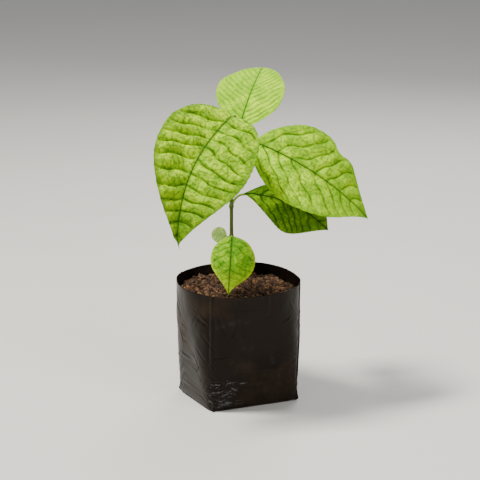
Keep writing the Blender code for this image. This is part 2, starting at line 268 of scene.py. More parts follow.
def make_piece(name, points, faces, material, attributes=None):
    """A smooth mesh object at the origin, with numbers kept on its points."""
    mesh = bpy.data.meshes.new(name)
    mesh.from_pydata(np.asarray(points).reshape(-1, 3).tolist(), [], faces)
    mesh.materials.append(material)
    mesh.shade_smooth()
    for label, numbers in (attributes or {}).items():
        flat = np.asarray(numbers, dtype=np.float32)
        kind, field = ("FLOAT_VECTOR", "vector") if flat.shape[-1] == 3 else ("FLOAT", "value")
        layer = mesh.attributes.new(label, kind, "POINT")
        layer.data.foreach_set(field, flat.ravel())
    return add_object(name, mesh)


def ring_faces(count, sides):
    """Quads between rings of points that go round clockwise, seen along the way they run."""
    faces = []
    for row, spot in itertools.product(range(count - 1), range(sides)):
        beside = (spot + 1) % sides
        low = row * sides
        high = low + sides
        faces.append((low + spot, high + spot, high + beside, low + beside))
    return faces


def closed_skin(rows):
    """Faces through rings of points, with the first and the last ring filled."""
    count, sides = rows.shape[:2]
    last = count * sides - 1
    return [tuple(range(sides)), *ring_faces(count, sides), tuple(last - spot for spot in range(sides))]


def stand_for(piece, slot, *nodes):
    """Put the finished piece on the part's one body, in place of the nodes it stands for."""
    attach(piece, "root")
    if nodes:
        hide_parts(*nodes)
    print(f"{piece.name}: {len(piece.data.polygons)} faces")


# %% [markdown]
# The bag is thin polythene. Its foot is folded nearly square and its mouth is pushed round by the
# mix, and between them the film is ruled straight. The sizes are the solid's own. The folds could
# come from a cloth simulation, but a few hundred sharp creases laid on the wall by rule look more
# like film that was packed flat, and they stay where they are put.

# %% The bag's sizes
MOUTH_HALF = 49.2 * MM
FOOT_HALF_X = 38.8 * MM
FOOT_HALF_Y = 33.4 * MM
BAG_TURN = math.radians(25)
BAG_HEIGHT = 97.6 * MM
MOUTH_TILT = 2.0 * MM
MOUTH_EXPONENT = 2.25
FOOT_EXPONENT = 12.0
BULGE = 0.8 * MM
BULGE_SKEW = 0.63
EAR = 2.4 * MM
EAR_HEIGHT = 7.0 * MM
EAR_SPREAD = math.radians(6)
FOOT_BEND = 1.4 * MM
FILM = 0.35 * MM
BAG_SIDES = 384
BAG_ROWS = 150
CUP_SHARE = 0.86  # of the height, where the open inside of the bag ends below the mix

# Long creases as degrees round the bag, the shares of the height they run between, how far each
# leans, and how far it stands out
LONG_CREASES = (
    (-114.7, 0.40, 1.0, 1.0, 0.75 * MM),
    (-60.1, 0.55, 1.0, -2.0, 0.6 * MM),
    (-15.0, 0.2, 1.0, 3.0, 0.7 * MM),
    (-86.0, 0.0, 0.35, 4.0, 0.5 * MM),
    (38.0, 0.3, 1.0, -3.0, 0.7 * MM),
    (102.0, 0.1, 0.9, 2.0, 0.7 * MM),
    (158.0, 0.35, 1.0, -2.0, 0.6 * MM),
    (-158.0, 0.15, 0.8, 3.0, 0.6 * MM),
)
LONG_CREASE_WIDTH = 1.1 * MM
LONG_CREASE_FADE = 0.06  # of the height
CRUMPLES = ((0.55, 24, 1), (0.3, 9, 2))  # height and size in millimetres, seed

# Short creases lie anywhere. More of them lie where the front corner of the foot was crushed, and
# these get a painted glint, a lighter colour along the fold. tilt is the most they turn from level,
# in radians. half, which is half the length, and width are in millimetres.
SHORT_CREASES = 210
SHORT = dict(tilt=1.3, half=(3, 14), width=(0.45, 1.2))
CRUSHED_CREASES = 120
CRUSHED = dict(tilt=0.7, half=(2, 6), width=(0.4, 0.8))
CRUSHED_AT = math.radians(-103)
CRUSHED_SPREAD = 0.2  # radians
CRUSHED_HEIGHTS = (0.03, 0.27)  # shares of the bag's height
CREASE_RISE = (0.15, 0.5)  # millimetres
CREASE_SEED = 41

STILL_FOOT = 5 * MM  # creases come in over this height, so that the foot stands flat
RIM_RIPPLE = 0.5 * MM
RIM_RIPPLE_SIZE = 13 * MM
UNDERSIDE_SHARES = (0.02, 0.3, 0.6, 0.85)
CUP_BOTTOM_SHARES = (0.7, 0.35, 0.02)
print("bag", round(BAG_HEIGHT / MM, 1), "mm high,", SHORT_CREASES + CRUSHED_CREASES, "short creases")


# %% The bag's film
def squarish(turn, half_x, half_y, exponent):
    """Points of a rounded square, whose corners are at 45 degrees of turn."""
    cosine, sine = np.cos(turn), np.sin(turn)
    x = half_x * np.sign(cosine) * np.abs(cosine) ** (2 / exponent)
    y = half_y * np.sign(sine) * np.abs(sine) ** (2 / exponent)
    return np.stack([x, y], axis=1)


def bag_ring(share, inset):
    """Points round the bag at a share of its height, pulled in from the outside by inset."""
    turn = -2 * math.pi * np.arange(BAG_SIDES) / BAG_SIDES
    off_corner = (turn % (math.pi / 2)) - math.pi / 4
    pinch = np.exp(-((off_corner / EAR_SPREAD) ** 2))
    ear = EAR * pinch * math.exp(-((share * BAG_HEIGHT / EAR_HEIGHT) ** 2))
    swell = BULGE * math.sin(math.pi * share**BULGE_SKEW) - inset
    foot = squarish(turn, FOOT_HALF_X, FOOT_HALF_Y, FOOT_EXPONENT)
    mouth = squarish(turn, MOUTH_HALF, MOUTH_HALF, MOUTH_EXPONENT)
    flat = foot + (mouth - foot) * share
    outward = flat / np.linalg.norm(flat, axis=1)[:, None]
    flat = flat + np.sign(flat) * swell * np.sqrt(np.abs(outward)) + outward * ear[:, None]
    x = flat[:, 0] * math.cos(BAG_TURN) - flat[:, 1] * math.sin(BAG_TURN)
    y = flat[:, 0] * math.sin(BAG_TURN) + flat[:, 1] * math.cos(BAG_TURN)
    z = share * (BAG_HEIGHT + MOUTH_TILT * np.sin(np.arctan2(y, x)))
    return np.stack([x, y, z], axis=1)


def fold_line(across, width):
    """The height of a sharp fold over its own middle, with a shallow hollow beside it."""
    near = np.abs(across) / width
    return np.exp(-near * 1.6) - 0.45 * np.exp(-(((near - 2.2) / 1.1) ** 2))


def creases(points):
    """How far the film stands out at each point of the wall, and how strong the painted glint is there.
    """
    chance = np.random.default_rng(CREASE_SEED)
    glint = np.zeros(points.shape[:-1])
    turn = np.arctan2(points[..., 1], points[..., 0])
    height = points[..., 2]
    radius = np.hypot(points[..., 0], points[..., 1])
    share = height / BAG_HEIGHT

    def round_from(middle):
        return (np.mod(turn - middle + math.pi, 2 * math.pi) - math.pi) * radius

    stand = crumple(points, CRUMPLES)
    for degrees, low, high, lean, rise in LONG_CREASES:
        across = round_from(math.radians(degrees) + math.radians(lean) * (share - low))
        window = ease(low - LONG_CREASE_FADE, low + LONG_CREASE_FADE, share)
        if high < 1:
            window = window * (1 - ease(high - 0.03, high + 0.05, share))
        stand = stand + rise * window * fold_line(across, LONG_CREASE_WIDTH)
    for number in range(SHORT_CREASES + CRUSHED_CREASES):
        crushed = number >= SHORT_CREASES
        kind = CRUSHED if crushed else SHORT
        if crushed:
            middle = chance.normal(CRUSHED_AT, CRUSHED_SPREAD)
            rise = BAG_HEIGHT * chance.uniform(*CRUSHED_HEIGHTS)
        else:
            middle = chance.uniform(-math.pi, math.pi)
            rise = BAG_HEIGHT * chance.beta(1.0, 1.7)  # more of them low down
        tilt = chance.uniform(-kind["tilt"], kind["tilt"])
        half = chance.uniform(*kind["half"]) * MM
        width = chance.uniform(*kind["width"]) * MM
        size = chance.uniform(*CREASE_RISE) * MM * chance.choice((-1, 1, 1))
        round_way = round_from(middle)
        up_way = height - rise
        along = round_way * math.cos(tilt) + up_way * math.sin(tilt)
        across = up_way * math.cos(tilt) - round_way * math.sin(tilt)
        near = (np.abs(along) < half) & (np.abs(across) < 5 * width)
        window = np.clip(1 - (along[near] / half) ** 2, 0, 1)
        stand[near] += size * window * fold_line(across[near], width)
        # Crushed creases also get a painted glint: their colour is lightened along the fold.
        if crushed:
            glint[near] += window * np.exp(-np.abs(across[near]) / width * 3.0)
    return stand, np.clip(glint, 0, 1)


def bag_rows():
    """Rings from the middle of the underside, up the outside, over the rim and down inside."""
    low = FOOT_BEND / BAG_HEIGHT
    foot = bag_ring(0, FOOT_BEND)
    under = [foot * np.array([share, share, 0]) for share in UNDERSIDE_SHARES]
    climb = np.linspace(0, 1, BAG_ROWS)
    outer = np.array([bag_ring(low + (1 - low) * share, 0) for share in climb])
    outward = outer * np.array([1, 1, 0])
    outward /= np.linalg.norm(outward, axis=2)[..., None]
    hold = ease(0, STILL_FOOT, outer[..., 2])
    stand, glint = creases(outer)
    outer = outer + outward * (stand * hold)[..., None]
    ripple = RIM_RIPPLE * lattice_noise(outer[-1], RIM_RIPPLE_SIZE, 5)
    outer[..., 2] += ripple * ease(0.93, 1, climb)[:, None]
    open_part = climb > CUP_SHARE
    inner = outer[open_part][::-1] - outward[open_part][::-1] * FILM
    lip = (outer[-1] + inner[0]) / 2 + np.array([0, 0, FILM / 2])
    cup = [inner[-1] * np.array([share, share, 1]) for share in CUP_BOTTOM_SHARES]
    rows = np.array([*under, foot, *outer, lip, *inner, *cup])
    fold_glint = np.zeros(rows.shape[:2])
    first = len(under) + 1
    fold_glint[first : first + len(outer)] = glint
    return rows, fold_glint


# %% [markdown]
# Black polythene is satin, with a fine drawn grain. Its black carries a brown tint, a painted warm
# reflection. It is dusty brown, with more of that painted reflection, where soil has been brushed
# over it, rubbed to a blue grey in a few smudges, and lightened along the crushed folds: a painted
# glint.

# %% The film's finish
# The black and the dust both carry a brown tint, a painted warm reflection of the surroundings.
FILM_BLACK_AND_WARM_REFLECTION = (0.0092, 0.0060, 0.0038)
FILM_DUST_AND_WARM_REFLECTION = (0.036, 0.0220, 0.0130)
FILM_SMUDGED = (0.026, 0.032, 0.040)
FILM_SPECKED = (0.10, 0.065, 0.04)
# The light grey painted along the crushed folds is a painted glint.
FILM_FOLD_GLINT = (0.10, 0.105, 0.11)

film = Finish("bag_film", {"Specular IOR Level": 0.09})
film_place = film.place()
dust = film.step(film.noise(film_place, 22, detail=5, rough=0.65), 0.48, 0.72)
smudge = film.step(film.noise(film_place, 55, detail=4, rough=0.7), 0.60, 0.74)
stretch = film.node("ShaderNodeMapping", values={"Vector": film_place, "Scale": (1, 1, 0.12)})
drawn = film.noise(stretch, 900, detail=2)
speck = film.step(film.noise(film_place, 700, detail=2), 0.68, 0.78)
tone = film.blend(dust * 0.6, FILM_BLACK_AND_WARM_REFLECTION, FILM_DUST_AND_WARM_REFLECTION)
tone = film.blend(smudge * 0.4, tone, FILM_SMUDGED)
tone = film.blend(speck * dust * 0.5, tone, FILM_SPECKED)
# Painted glint: the colour is lightened along the crushed folds.
fold_glint_mask = film.step(film.attribute("fold_glint") * (0.5 + film.noise(film_place, 400)), 0.45, 1.0)
film.feed("Base Color", film.blend(fold_glint_mask * 0.6, tone, FILM_FOLD_GLINT))
film.feed("Roughness", 0.27 + dust * 0.2 + smudge * 0.14 + drawn * 0.06)
film.bump(drawn * 0.4 + film.noise(film_place, 260, detail=4, rough=0.6), 0.25 * MM, 0.6)

rows, fold_glint = bag_rows()
bag = make_piece(
    "bag_film_shell", rows, closed_skin(rows), film.material, {"fold_glint": fold_glint.ravel()}
)
stand_for(bag, "bag_film", "bag")

# %% [markdown]
# Potting mix is a heap of crumbs. The bed is one lumpy body that closes the bag, and Geometry Nodes
# strew crumbs, fibres and pale grains over it, which is what they are best at: points on a surface,
# one small shape on each, with its own turn and size.

# %% The bed of potting mix
SOIL_LEVEL = 91.5 * MM
STEM_X = -5.4 * MM
SOIL_WALL_SHARE = 0.905
BED_ROWS = 44
BED_BOTTOM = 0.87  # share of the bag's height
BED_CLEAR = 0.7 * MM
LUMPS = ((2.0, 13, 11), (1.5, 5.5, 12), (0.6, 2.4, 13))  # height and size in millimetres, seed


def bed_rows():
    """Rings from the bottom of the bed, up the film and over its top to the stem."""
    bottom = bag_ring(BED_BOTTOM, FILM + BED_CLEAR)
    start = [bottom * np.array([share, share, 1]) for share in (0.02, 0.5)]
    edge = bag_ring(SOIL_WALL_SHARE, FILM + BED_CLEAR)
    middle = np.array([STEM_X, 0, SOIL_LEVEL])
    top = []
    for inward in np.linspace(0, 0.985, BED_ROWS):
        ring = edge + (middle - edge) * inward
        ring[:, 2] = edge[:, 2] + (SOIL_LEVEL - edge[:, 2]) * ease(0, 0.3, inward)
        ring[:, 2] += crumple(ring[:, :2], LUMPS) * (1 - ease(0.86, 0.97, inward))
        top.append(ring)
    return np.array([*start, bottom, *top])


def soil_finish(name, dark, light, scale):
    """Damp mix: two browns in patches, and a rough surface at two sizes."""
    finish = Finish(name, {"Specular IOR Level": 0.25})
    place = finish.place()
    patch = finish.step(finish.noise(place, scale, detail=4, rough=0.65), 0.35, 0.68)
    grain = finish.noise(place, 1500, detail=4, rough=0.7)
    finish.feed("Base Color", finish.blend(patch * 0.7 + grain * 0.3, dark, light))
    finish.feed("Roughness", 0.85 + grain * 0.12)
    finish.bump(grain + finish.noise(place, 500, detail=3) * 1.5, 0.35 * MM)
    return finish.material


bed_finish = soil_finish("potting_mix_bed", (0.012, 0.006, 0.0035), (0.055, 0.026, 0.014), 260)
bed = bed_rows()
mix = make_piece("potting_mix_bed", bed, closed_skin(bed), bed_finish)
stand_for(mix, "potting_mix", "potting_mix")


# %% Strewing with Geometry Nodes
def strewing_tree(name):
    """A tree that puts a small shape on random points of a surface, with named inputs."""
    tree = bpy.data.node_groups.new(name, "GeometryNodeTree")
    inputs = (
        ("Surface", "NodeSocketGeometry"), ("Shape", "NodeSocketObject"),
        ("Density", "NodeSocketFloat"), ("Seed", "NodeSocketInt"),
        ("Smallest", "NodeSocketVector"), ("Largest", "NodeSocketVector"),
        ("Tilt", "NodeSocketFloat"), ("Finish", "NodeSocketMaterial"),
    )
    for label, kind in inputs:
        tree.interface.new_socket(label, in_out="INPUT", socket_type=kind)
    tree.interface.new_socket("Pieces", in_out="OUTPUT", socket_type="NodeSocketGeometry")
    given = tree.nodes.new("NodeGroupInput").outputs
    made = tree.nodes.new("NodeGroupOutput").inputs

    def add(kind, settings, links):
        node = tree.nodes.new(kind)
        for setting, choice in settings.items():
            setattr(node, setting, choice)
        for socket, source in links.items():
            if hasattr(source, "is_output"):
                tree.links.new(source, node.inputs[socket])
            else:
                node.inputs[socket].default_value = source
        return node.outputs

    spread = add(
        "GeometryNodeDistributePointsOnFaces", {"distribute_method": "RANDOM"},
        {"Mesh": given["Surface"], "Density": given["Density"], "Seed": given["Seed"]},
    )
    tilt = add("ShaderNodeCombineXYZ", {}, {0: given["Tilt"], 1: given["Tilt"], 2: math.pi})
    back = add("ShaderNodeVectorMath", {"operation": "SCALE"}, {0: tilt[0], "Scale": -1.0})
    turn = add(
        "FunctionNodeRandomValue", {"data_type": "FLOAT_VECTOR"},
        {0: back[0], 1: tilt[0], "Seed": given["Seed"]},
    )
    size = add(
        "FunctionNodeRandomValue", {"data_type": "FLOAT_VECTOR"},
        {0: given["Smallest"], 1: given["Largest"], "Seed": given["Seed"]},
    )
    shape = add("GeometryNodeObjectInfo", {}, {"Object": given["Shape"]})
    copies = add(
        "GeometryNodeInstanceOnPoints", {},
        {
            "Points": spread["Points"], "Instance": shape["Geometry"],
            "Rotation": turn[0], "Scale": size[0],
        },
    )
    real = add("GeometryNodeRealizeInstances", {}, {"Geometry": copies["Instances"]})
    done = add(
        "GeometryNodeSetMaterial", {}, {"Geometry": real["Geometry"], "Material": given["Finish"]}
    )
    tree.links.new(done["Geometry"], made["Pieces"])
    return tree


strewing = strewing_tree("strewing")
print(len(strewing.nodes), "nodes strew the crumbs")


def strew(name, surface, inputs):
    """Run the tree on a surface, and keep what it makes as a plain mesh."""
    maker = add_object(name, surface)
    modifier = maker.modifiers.new("strewing", "NODES")
    modifier.node_group = strewing
    for item in strewing.interface.items_tree:
        if item.in_out == "INPUT" and item.name in inputs:
            modifier[item.identifier] = inputs[item.name]
    evaluated = maker.evaluated_get(bpy.context.evaluated_depsgraph_get())
    mesh = bpy.data.meshes.new_from_object(evaluated)
    bpy.data.objects.remove(maker)
    mesh.name = name
    mesh.shade_smooth()
    stand_for(add_object(name, mesh), "potting_mix")


# %% [markdown]
# The crumbs are small balls that noise has made uneven. The fibres are bent three-sided rods, as
# coir is, and a few pale grains are the mix's perlite.


# %% The crumbs' shapes
FIBRE_SIDES = 3
FIBRE_ROWS = 7


def crumb_shape(name, uneven, seed, level):
    """A ball one unit in radius with an uneven surface."""
    bpy.ops.mesh.primitive_ico_sphere_add(subdivisions=level, radius=1)
    ball = bpy.context.object
    ball.name = name
    points = np.array([vertex.co for vertex in ball.data.vertices])
    large = lattice_noise(points + 7, 0.8, seed)
    small = lattice_noise(points + 3, 0.4, seed)
    for vertex, grow in zip(ball.data.vertices, 1 + uneven * large + 0.5 * uneven * small):
        vertex.co = vertex.co * float(grow)
    return ball


def fibre_shape(name, bend):
    """A thin bent rod two units long and one unit in radius, with three sides."""
    angle = -2 * math.pi * np.arange(FIBRE_SIDES) / FIBRE_SIDES
    rows = []
    for share in np.linspace(0, 1, FIBRE_ROWS):
        narrow = 0.35 + 0.65 * math.sin(math.pi * (0.12 + 0.76 * share))
        rise = bend * math.sin(math.pi * share)
        along = np.full(FIBRE_SIDES, 2 * share - 1)
        rows.append(np.stack([along, narrow * np.cos(angle), narrow * np.sin(angle) + rise], axis=1))
    faces = [face[::-1] for face in closed_skin(np.array(rows))]
    return make_piece(name, rows, faces, bed_finish)


BOTTOM_RINGS = 3  # the bed's first rings are its underside
STEM_RINGS = 3  # and its last ones run in under the stem


def mix_top(name, clear_rings):
    """The top of the bed, without the rings that lie nearest the film."""
    kept = bed[BOTTOM_RINGS + clear_rings : -STEM_RINGS]
    faces = [face[::-1] for face in ring_faces(len(kept), BAG_SIDES)]
    mesh = bpy.data.meshes.new(name)
    mesh.from_pydata(kept.reshape(-1, 3).tolist(), [], faces)
    return mesh


whole_top = mix_top("mix_top", 1)
inner_top = mix_top("mix_inner_top", 4)
crumb = crumb_shape("crumb_shape", 0.5, 21, 2)
grain = crumb_shape("grain_shape", 0.3, 22, 1)
fibre = fibre_shape("fibre_shape", 2.2)
straw = fibre_shape("straw_shape", 5.0)

MIX_PATCHES = 420  # how many to a metre, as the noise counts them
MIX_COLOURS = {  # the darker and the lighter of two
    "dark": ((0.010, 0.0045, 0.0024), (0.075, 0.036, 0.017)),
    "brown": ((0.040, 0.018, 0.008), (0.20, 0.105, 0.050)),
    "red": ((0.095, 0.040, 0.017), (0.27, 0.135, 0.062)),
    "pale": ((0.42, 0.38, 0.32), (0.72, 0.68, 0.60)),
    "straw": ((0.16, 0.09, 0.045), (0.34, 0.22, 0.12)),
}
mixes = {
    label: soil_finish(f"mix_{label}", *pair, MIX_PATCHES) for label, pair in MIX_COLOURS.items()
}

STREWN = (  # name, shape, pieces a square metre, seed, tilt, colour, smallest and largest in mm
    ("clods_dark", crumb, 52000.0, 31, 3.1, "dark", (1.0, 1.0, 0.8), (3.4, 3.0, 2.3)),
    ("clods_brown", crumb, 52000.0, 32, 3.1, "brown", (0.7, 0.7, 0.6), (3.2, 2.8, 2.0)),
    ("clods_red", crumb, 15000.0, 33, 3.1, "red", (0.6, 0.6, 0.5), (2.5, 2.2, 1.7)),
    ("grains_brown", grain, 420000.0, 34, 3.1, "brown", (0.2, 0.2, 0.2), (0.65, 0.65, 0.55)),
    ("grains_red", grain, 130000.0, 35, 3.1, "red", (0.15, 0.15, 0.15), (0.5, 0.5, 0.45)),
    ("grains_pale", grain, 3800.0, 36, 3.1, "pale", (0.25, 0.25, 0.2), (0.7, 0.65, 0.5)),
    ("fibres_brown", fibre, 60000.0, 37, 0.5, "brown", (1.5, 0.1, 0.1), (4.2, 0.2, 0.2)),
    ("fibres_straw", straw, 9000.0, 38, 0.4, "straw", (2.0, 0.12, 0.12), (5.0, 0.24, 0.24)),
)
for label, shape, density, seed, tilt, colour, smallest, largest in STREWN:
    strew(
        f"mix_{label}", whole_top if shape is grain else inner_top,
        {
            "Shape": shape, "Density": density, "Seed": seed, "Tilt": tilt, "Finish": mixes[colour],
            "Smallest": [side * MM for side in smallest], "Largest": [side * MM for side in largest],
        },
    )
for shape in (crumb, grain, fibre, straw):
    bpy.data.objects.remove(shape)

# %% [markdown]
# The stem is a slender rod with a slight swelling under each leaf. A real one has fine ridges along
# it, small pores and a brown, corky foot. Ridges and swellings are in the mesh, pores and colour in
# the finish.

# %% The stem's sizes
STEM_TOP = 222 * MM
STEM_RADIUS = 1.6 * MM
TIP_RADIUS = 0.95 * MM
FLARE = 1.5 * MM
FLARE_HEIGHT = 2.6 * MM
TAPER_POWER = 1.6
LEAN_X = 2.4 * MM
LEAN_Y = 1.5 * MM
LEAN_FROM = 160 * MM
NODE_SWELL = 0.35 * MM
NODE_LENGTH = 1.8 * MM
STEM_SIDES = 40
STEM_ROWS = 360
STEM_SUNK = 1.5 * MM  # how far the foot goes into the mix
BARK_RIDGES = ((0.10, 0.7, 51),)  # height and width in millimetres, seed
BARK_LUMPS = ((0.05, 0.9, 52),)
RIDGE_STRETCH = 0.12
CORKY_HEIGHT = 45 * MM

# Each leaf by the rule that the solids follow, in millimetres and degrees: where its stalk leaves
# the stem and which way, where its blade starts, and how its midrib heads and climbs to the tip.
# Then how many side veins it has, how far they run forward, how strongly it is quilted on its left
# and right half, and how far its margin ripples.
LEAVES = {
    "leaf_left_large": dict(
        joins=212, leaves_at=(270, 62), foot=(-5.3, -16.8, 234), length=130, left=47, right=37,
        widest=0.35, ends=(0.56, 1.1), heading=(225, 266), climb=(-30, -66), droop=1.8,
        roll=(-16, -34), fold=(15, 24), stalk=1.0, hook=75,
        veins=10, forward=0.16, quilt=(2.5, 2.0), ripple=0.9,
    ),
    "leaf_right_large": dict(
        joins=200, leaves_at=(-20, 58), foot=(13.1, -4.4, 211), length=112, left=37.8, right=41.3,
        widest=0.44, ends=(0.73, 1.1), heading=(-21, 17), climb=(-14.6, -48.5), droop=0.8,
        roll=(41, 44), fold=(4, 4), stalk=1.0, dents=(("left", 0.58, 0.07, 0.16),),
        veins=7, forward=0.33, quilt=(1.1, 1.0), ripple=0.7,
    ),
    "leaf_top": dict(
        joins=216, leaves_at=(30, 50), foot=(1.2, 4.0, 221.7), length=69, left=27.5, right=28.9,
        widest=0.46, ends=(0.71, 0.66), heading=(66, 74), climb=(54, 18),
        roll=(13, -1), fold=(9, 8), stalk=0.85,
        veins=11, forward=0.33, quilt=(0.6, 0.6), ripple=0.5,
    ),
    "leaf_right_lower": dict(
        joins=158, leaves_at=(-5, 74), foot=(4.4, -0.1, 168.6), length=76.5, left=20, right=25.4,
        widest=0.56, ends=(0.82, 1.15), heading=(-1, -32), climb=(-1, -39),
        roll=(32, 60), fold=(8, 4), stalk=0.95,
        veins=8, forward=0.26, quilt=(0.7, 0.7), ripple=0.5,
    ),
    "leaf_front_small": dict(
        joins=133.4, leaves_at=(268, 25), foot=(-5.0, -4.0, 134.2), length=61, left=19.7, right=16,
        widest=0.44, ends=(0.65, 1.57), heading=(268, 265), climb=(-29, -44),
        roll=(-2, -15), fold=(5, 5), stalk=0.7,
        veins=7, forward=0.26, quilt=(0.5, 0.5), ripple=0.4,
    ),
    "leaf_pale_round": dict(
        joins=132.6, leaves_at=(170, 15), foot=(-9.2, 1.2, 133.4), length=12.4, left=6.6, right=6.6,
        widest=0.5, ends=(0.5, 0.5), heading=(176, 172), climb=(10, 2),
        roll=(-62, -62), fold=(5, 5), stalk=0.45,
        veins=4, forward=0.24, quilt=(0.12, 0.12), ripple=0.2,
    ),
    "leaf_back_left": dict(
        joins=158.6, leaves_at=(128, 66), foot=(-13, 12, 177), length=68, left=21, right=22,
        widest=0.45, ends=(0.68, 0.9), heading=(128, 112), climb=(18, -44),
        roll=(6, -8), fold=(10, 10), stalk=0.75,
        veins=8, forward=0.28, quilt=(0.7, 0.7), ripple=0.6,
    ),
    "leaf_back_right": dict(
        joins=188, leaves_at=(52, 55), foot=(5, 11.5, 203), length=74, left=24, right=23,
        widest=0.43, ends=(0.66, 0.85), heading=(46, 62), climb=(12, -46),
        roll=(4, -4), fold=(10, 8), stalk=0.85,
        veins=8, forward=0.28, quilt=(0.7, 0.7), ripple=0.6,
    ),
}
HOOK_FROM = 0.93  # share of the length from which a hooked tip turns
print(len(LEAVES), "leaves on a stem", round((STEM_TOP - SOIL_LEVEL) / MM), "mm high")


# %% The stem
def stem_axis(height):
    lean = ease(LEAN_FROM, STEM_TOP, height)
    return np.array([STEM_X + LEAN_X * lean, LEAN_Y * lean, height])


def stem_radius(height):
    """Taper from the foot to the tip, a flare at the foot and a swelling under each leaf."""
    share = max(0, (height - SOIL_LEVEL) / (STEM_TOP - SOIL_LEVEL))
    radius = STEM_RADIUS + (TIP_RADIUS - STEM_RADIUS) * share**TAPER_POWER
    radius += FLARE * math.exp(-max(0, height - SOIL_LEVEL) / FLARE_HEIGHT)
    for leaf in LEAVES.values():
        radius += NODE_SWELL * math.exp(-(((height - leaf["joins"] * MM) / NODE_LENGTH) ** 2))
    return radius


def tube_rows(centres, radii, sides):
    """Rings round a smooth line of centres, and the way out from it at each of their points."""
    centres = np.asarray(centres)
    along = np.gradient(centres, axis=0)
    along /= np.linalg.norm(along, axis=1)[:, None]
    across = np.cross(along[0], (1.0, 0.0, 0.0))
    if np.linalg.norm(across) < 0.3:
        across = np.cross(along[0], (0.0, 1.0, 0.0))
    turn = 2 * math.pi * np.arange(sides) / sides
    rows, outs = [], []
    for centre, direction, radius in zip(centres, along, radii):
        across = across - direction * across.dot(direction)
        across /= np.linalg.norm(across)
        out = np.outer(np.cos(turn), across) + np.outer(np.sin(turn), np.cross(across, direction))
        rows.append(centre + radius * out)
        outs.append(out)
    return np.array(rows), np.array(outs)


heights = np.linspace(SOIL_LEVEL - STEM_SUNK, STEM_TOP, STEM_ROWS)
rows, outs = tube_rows([stem_axis(h) for h in heights], [stem_radius(h) for h in heights], STEM_SIDES)
bark = crumple(rows * np.array([1, 1, RIDGE_STRETCH]), BARK_RIDGES) + crumple(rows, BARK_LUMPS)
low_part = 1 - ease(SOIL_LEVEL, SOIL_LEVEL + CORKY_HEIGHT, heights)
rows = rows + outs * (bark * (0.55 + 0.8 * low_part[:, None]))[..., None]

# %% The stem's finish
STEM_GREENS = ((0.028, 0.060, 0.000), (0.080, 0.125, 0.000))
STEM_BROWNS = ((0.030, 0.022, 0.003), (0.080, 0.062, 0.014))
STEM_PORE = (0.26, 0.23, 0.13)

stem_finish = Finish("stem_bark", {"Specular IOR Level": 0.25})
place = stem_finish.place()
height = stem_finish.node("ShaderNodeSeparateXYZ", values=[place], output="Z")
long_grain = stem_finish.node("ShaderNodeMapping", values={"Vector": place, "Scale": (1, 1, 0.1)})
ridges = stem_finish.noise(long_grain, 1400, detail=3)
patches = stem_finish.noise(place, 190, detail=3)
pores = stem_finish.step(stem_finish.cracks(place, 420), 0.0, 0.11, 1.0, 0.0)
green = stem_finish.blend(patches, *STEM_GREENS)
brown = stem_finish.blend(ridges, *STEM_BROWNS)
low = stem_finish.step(height + patches * 0.03, 0.125, 0.185, 1.0, 0.0)
tone = stem_finish.blend(low * 0.85, green, brown)
stem_finish.feed("Base Color", stem_finish.blend(pores * 0.18, tone, STEM_PORE))
stem_finish.feed("Roughness", 0.5 + ridges * 0.2)
stem_finish.bump(ridges + patches * 0.6, 0.2 * MM)
stem = make_piece("stem_with_bark", rows, closed_skin(rows), stem_finish.material)
stand_for(stem, "stem_bark", "stem")

# %% [markdown]
# A leaf's side veins repeat along the midrib, and each half bulges between them. The same rule is
# used twice: on NumPy arrays to raise the mesh, and on shader values to colour it, so that the
# creases and the painted shade along them fall together. That works because both know the same
# operators.


# %% The rule of the veins
SLOW_SWAY = 0.20  # how far the veins wander from even spacing, as a share of one space
QUICK_SWAY = 0.08
VEIN_CURVE = 1.12  # over 1, they bend forward on their way out
VEIN_CROWDING = 1.12  # spaces for each vein that a leaf's row gives
VEIN_STAGGER = 0.22  # how far the left half's veins are out of step with the right half's


def wave(angle):
    """The sine of a shader value or of an array."""
    return angle.math("SINE", angle) if isinstance(angle, Value) else np.sin(angle)


def whole(number):
    """The whole part of a shader value or of an array."""
    return number.math("FLOOR", number) if isinstance(number, Value) else np.floor(number)


def off_vein(leaf, share, across):
    """0 on a side vein and 0.5 half way to the next, at a share of the length along the midrib.

    across is the way out from the midrib as a share of the widest half, under 0 on the right.
    """
    out = abs(across)
    slow = SLOW_SWAY * wave(11.0 * share + 3.0 * across + leaf["length"])
    sway = slow + QUICK_SWAY * wave(23.0 * share + 9.0 * out)
    spaces = (share - leaf["forward"] * out**VEIN_CURVE) * leaf["veins"] * VEIN_CROWDING
    phase = spaces + sway + VEIN_STAGGER * across
    return abs(phase - whole(phase) - 0.5)


# %% The leaf's outline
MIDRIB_STEPS = 240
BLADE_END = 0.3 * MM
SCALLOP = 0.012  # depth of the shallow teeth on the margin, as a share of the half width
TEETH_PER_VEIN = 2.3


